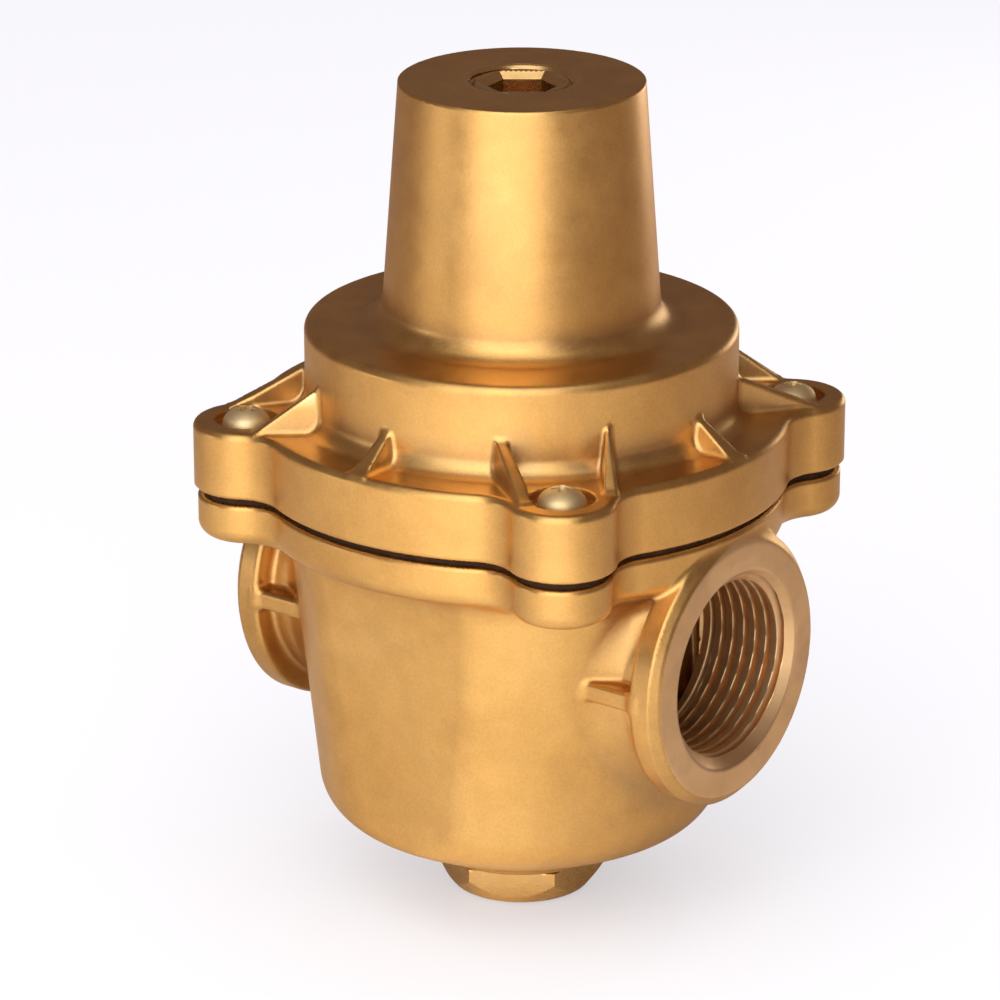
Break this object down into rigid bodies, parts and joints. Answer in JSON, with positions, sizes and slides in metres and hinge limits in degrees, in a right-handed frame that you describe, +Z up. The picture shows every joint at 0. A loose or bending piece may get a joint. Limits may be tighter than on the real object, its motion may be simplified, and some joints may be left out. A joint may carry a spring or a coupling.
{
  "type": "pressure reducing valve",
  "caption": "Cast brass direct-acting diaphragm pressure reducing valve with female threaded ports in line, tapered spring bonnet, recessed adjusting screw and hex bottom plug.",
  "frame": {"origin": "centre of the bottom plug's underside, on the valve axis", "axes": "+Z up the valve axis from the plug to the adjusting screw, +X along the pipe axis towards the outlet port"},
  "size_m": [0.092, 0.092, 0.1454],
  "materials": {
    "cast_brass": "shot-blasted casting, fine sand texture, satin",
    "machined_brass": "turned and milled, fine tool marks",
    "diaphragm_rubber": "matt fabric-reinforced rubber",
    "seal_rubber": "matt moulded rubber",
    "screw_steel": "bright passivated steel with a warm tint",
    "stem_steel": "turned stainless steel",
    "spring_steel": "drawn spring wire"
  },
  "bodies": {
    "housing": {"valve_body": "cast_brass", "bonnet": "cast_brass", "diaphragm": "diaphragm_rubber", "bonnet_screw_1": "screw_steel", "bonnet_screw_2": "screw_steel", "bonnet_screw_3": "screw_steel", "bonnet_screw_4": "screw_steel", "seat_ring": "machined_brass", "bottom_plug": "machined_brass", "bottom_plug_seal": "seal_rubber", "main_spring": "spring_steel"},
    "spring_seat": {"upper_spring_seat": "machined_brass"},
    "adjuster": {"adjusting_screw": "machined_brass"},
    "stem_group": {"valve_stem": "stem_steel", "valve_disc": "machined_brass", "disc_seal": "seal_rubber", "disc_retainer": "machined_brass", "disc_nut": "stem_steel", "diaphragm_washer": "machined_brass", "diaphragm_plate": "machined_brass", "stem_nut": "stem_steel"}
  },
  "joints": [
    {"name": "adjuster_travel", "type": "slide", "parent": "housing", "child": "spring_seat", "axis": [0, 0, 1], "range_m": [-0.0075, 0.0015], "deforming": ["main_spring"]},
    {"name": "adjuster_turn", "type": "hinge", "parent": "spring_seat", "child": "adjuster", "pos_m": [0, 0, 0.145], "axis": [0, 0, 1], "range_deg": [-1800, 360]},
    {"name": "stem_lift", "type": "slide", "parent": "housing", "child": "stem_group", "axis": [0, 0, 1], "range_m": [0, 0.0056], "deforming": ["main_spring", "diaphragm"]}
  ],
  "couplings": [
    {"joint": "adjuster_turn", "follows": "adjuster_travel", "rad_per_m": 4188.8}
  ]
}
